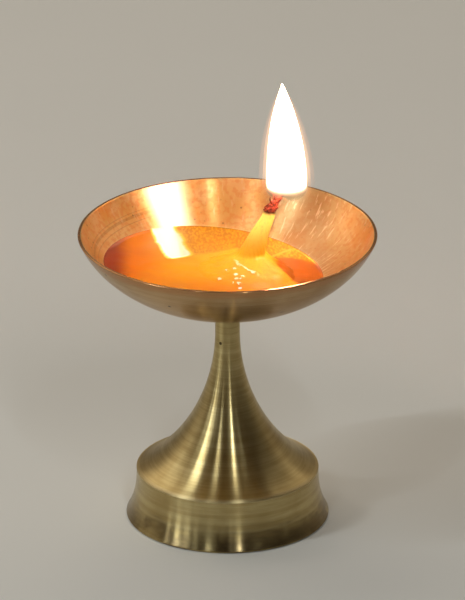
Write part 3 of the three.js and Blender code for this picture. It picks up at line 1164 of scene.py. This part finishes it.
# Three points of each fibre's curve, in mm from the stalk's end
BURNT_FIBRES = [
    ((0.4, -0.9, 1.9), (-0.2, -1.3, 2.9), (0.1, -1.6, 3.7)),
    ((1.2, -0.6, 2.5), (0.7, -1.1, 3.6), (1.1, -1.4, 4.5)),
    ((2.1, 0.5, 3.0), (3.1, 0.2, 4.1), (4.5, -0.2, 4.9)),
    ((2.4, 0.7, 3.2), (3.7, 0.6, 4.4), (5.4, 0.3, 5.4)),
    ((0.8, 1.2, 1.9), (0.5, 1.9, 2.8), (0.9, 2.3, 3.7)),
]
FIBRE_RINGS = 16
FIBRE_RADIUS = 0.17 * MM


def add_char():
    shape = sleeve(CHAR_RINGS + 1, char_point, steps=72)
    material = char_finish()
    add_piece("burnt_end", shape, [material], "lit_wick", ["wick_char"])
    for number, route in enumerate(BURNT_FIBRES, 1):
        start, middle, end = (stalk_ring(1)[0] + Vector(point) * MM for point in route)

        def fibre_point(ring, angle):
            share = ring / FIBRE_RINGS
            along = start * (1 - share) ** 2 + middle * 2 * share * (1 - share) + end * share**2
            way = (middle - start).lerp(end - middle, share).normalized()
            turn = way.to_track_quat("Z", "X")
            radius = FIBRE_RADIUS * math.sqrt(max(1 - share, 0)) * min(ring, 1)
            return along + turn @ (Vector((math.cos(angle), math.sin(angle), 0)) * radius)

        fibre = sleeve(FIBRE_RINGS + 1, fibre_point, steps=10)
        add_piece(f"burnt_fibre_{number}", fibre, [material], "lit_wick")


# Flame


FLAME_RINGS = 64


def flame_shape(proud, foot_drop):
    """The flame's closed outline, or a shell that stands proud of it and hangs lower."""
    foot = FLAME_FOOT - foot_drop

    def place(ring, angle):
        share = 0.5 - 0.5 * math.cos(math.pi * ring / FLAME_RINGS)
        rounding = math.sqrt(max(1 - (1 - min(share / FLAME_ROUND_SHARE, 1)) ** 2, 0))
        radius = (FLAME_RADIUS + proud) * rounding * (1 - share**FLAME_FULLNESS)
        sway = 0.1 * MM * math.sin(share * 7 + 0.6)
        x = FLAME_CENTRE[0] + FLAME_LEAN * share**2 + sway * share
        height = mix(foot, FLAME_TIP, share)
        notch = 1.3 * MM * math.exp(-(((radius * math.cos(angle) + 1.2 * MM) / (1.5 * MM)) ** 2))
        height += notch * (1 - smooth_step(0, 0.12, share))
        y = FLAME_CENTRE[1] + radius * math.sin(angle)
        return Vector((x + radius * math.cos(angle), y, height))

    return sleeve(FLAME_RINGS + 1, place, steps=96)


# The flame's layers: piece, material, strength, cover, hot and warm colours, the share of its glow
# that its foot keeps, how far it stands proud of the outline, and how much lower it hangs
FLAME_LAYERS = [
    ("flame_body", "flame", 106.0, 1.0, (1.0, 0.56, 0.4), (1.0, 0.5, 0.24), 0.002, -0.2, 0),
    ("flame_skin", "flame_skin", 1.7, 0.45, (1.0, 0.86, 0.56), (1.0, 0.6, 0.3), 0.5, 0.08, 0.2),
    ("flame_mantle", "flame_mantle", 2.4, 0.1, (1.0, 0.6, 0.34), (1.0, 0.5, 0.28), 0.6, 0.7, 0.4),
    # Painted glow: the outermost shell is a faint glowing halo round the flame
    ("flame_glow_halo", "flame_glow_halo", 2.4, 0.035, (1.0, 0.5, 0.28), (1.0, 0.46, 0.24), 0.4, 1.5, 0.6),
]


def add_flame():
    for name, finish, strength, cover, hot, warm, foot_glow, proud, drop in FLAME_LAYERS:
        material = flame_finish(finish, strength, cover, hot, warm, foot_glow)
        stands_for = ["flame"] if name == "flame_body" else ()
        shape = flame_shape(proud * MM, drop * MM)
        add_piece(name, shape, [material], "lit_wick", stands_for)


# Stage


FLOOR_COLOUR = (0.78, 0.78, 0.755)
FLOOR_REACH = 2.6
FLOOR_TURN_UP = 0.5
FLOOR_STEPS = 96


def add_floor():
    """A plain pale floor that turns up far behind the lamp, so that low views end in it too."""
    profile = [(0, 0), (0.4, 0), (1.2, 0), (FLOOR_REACH, 0)]
    for step in range(1, 9):
        angle = math.radians(80) * step / 8
        radius = FLOOR_REACH + FLOOR_TURN_UP * math.sin(angle)
        profile.append((radius, FLOOR_TURN_UP * (1 - math.cos(angle))))
    shape = spun(profile, FLOOR_STEPS)
    weld(shape, MM)
    mesh = bpy.data.meshes.new("floor")
    shape.to_mesh(mesh)
    shape.free()
    mesh.shade_smooth()
    material, shader = new_material("pale_floor")
    cloud = shader.grain(shader.place(), 9, detail=3)
    colour = shader.blend(FLOOR_COLOUR, tuple(0.95 * tone for tone in FLOOR_COLOUR), cloud)
    shader.finish({"Base Color": colour, "Roughness": 0.6, "Specular IOR Level": 0.3})
    mesh.materials.append(material)
    floor = bpy.data.objects.new("floor", mesh)
    bpy.context.scene.collection.objects.link(floor)


LAMP_AIM = Vector((0, 0, 0.04))


def add_softbox(name, azimuth, elevation, distance, size, glow, colour):
    """A soft lamp. Azimuth 0 is the camera's side, and positive goes to its right."""
    lamp = bpy.data.lights.new(name, "AREA")
    lamp.shape = "RECTANGLE"
    lamp.size, lamp.size_y = size
    lamp.energy = glow * math.pi * size[0] * size[1]
    lamp.color = colour
    across, up = math.radians(azimuth), math.radians(elevation)
    way = Vector((math.sin(across) * math.cos(up), -math.cos(across) * math.cos(up), math.sin(up)))
    softbox = bpy.data.objects.new(name, lamp)
    softbox.location = LAMP_AIM + way * distance
    softbox.rotation_euler = (-way).to_track_quat("-Z", "Y").to_euler()
    bpy.context.scene.collection.objects.link(softbox)


WINDOW_DISTANCE = 1.2
WINDOW_COLOUR = (0.95, 1.0, 1.0)
SIDE_DISTANCE = 1.4
SIDE_COLOUR = (1.0, 0.88, 0.72)
# Soft upright strips, high ones for the cone and low ones for the skirt and the bowl:
# the way each lies, how high, its width and height in metres, and its glow
WINDOW_STRIPS = [
    (-117, 42, 0.1, 0.4, 2.4),
    (-69, 47, 0.014, 0.42, 122.0),
    (-26, 50, 0.012, 0.5, 40.0),
    (15, 42, 0.018, 0.5, 62.0),
    (40, 50, 0.05, 0.6, 1.2),
    (-73, 19, 0.07, 0.75, 2.2),
    (-61, 19, 0.12, 0.75, 2.4),
    (-49, 19, 0.14, 0.75, 1.2),
    (-38, 19, 0.1, 0.75, 0.4),
    (3.5, 19, 0.045, 0.75, 0.5),
    (10, 19, 0.2, 0.75, 0.1),
]


ROOM_FRONT = (0.025, 0.02, 0.015)
ROOM_BEHIND = (0.25, 0.2, 0.14)
ROOM_OVERHEAD = (0.09, 0.072, 0.055)


def add_light():
    for number, (azimuth, elevation, width, height, glow) in enumerate(WINDOW_STRIPS, 1):
        name = f"window_{number}"
        size = (width, height)
        add_softbox(name, azimuth, elevation, WINDOW_DISTANCE, size, glow, WINDOW_COLOUR)
    add_softbox("side_left", -142, 50, SIDE_DISTANCE, (1.2, 1.2), 1.0, SIDE_COLOUR)
    add_softbox("side_right", 150, 50, SIDE_DISTANCE, (1.1, 1.1), 0.5, SIDE_COLOUR)
    world = bpy.data.worlds.new("room")
    bpy.context.scene.world = world
    shader = Shader(world)
    x, y, z = shader.parts(shader.node("ShaderNodeTexCoord", out="Generated"))
    behind = shader.between(y - x * 0.35, -0.3, 0.6)
    overhead = shader.between(z, 0.55, 0.95)
    colour = shader.blend(ROOM_FRONT, ROOM_BEHIND, behind)
    colour = shader.blend(colour, ROOM_OVERHEAD, overhead)
    glow = shader.node("ShaderNodeBackground", sockets={"Color": colour, "Strength": 1})
    shader.node("ShaderNodeOutputWorld", sockets={"Surface": glow})


VIEW_TARGET = Vector((1.0 * MM, 0, 46.56 * MM))
VIEW_PITCH = math.radians(23.13)
VIEW_DISTANCE = 1.602
VIEW_LENS = 480


def add_camera():
    """The photograph's angle: level, looking down a little, from far off with a long lens."""
    data = bpy.data.cameras.new("camera")
    data.sensor_width = 36
    data.lens = VIEW_LENS
    data.clip_end = 20
    camera = bpy.data.objects.new("camera", data)
    back = Vector((0, -math.cos(VIEW_PITCH), math.sin(VIEW_PITCH)))
    camera.location = VIEW_TARGET + back * VIEW_DISTANCE
    camera.rotation_euler = (math.pi / 2 - VIEW_PITCH, 0, 0)
    bpy.context.scene.collection.objects.link(camera)
    bpy.context.scene.camera = camera


bpy.context.scene.view_settings.view_transform = "Standard"
add_camera()
add_floor()
add_light()
add_stand()
add_screw(add_bowl())
add_ghee()
add_wick()
add_char()
add_flame()
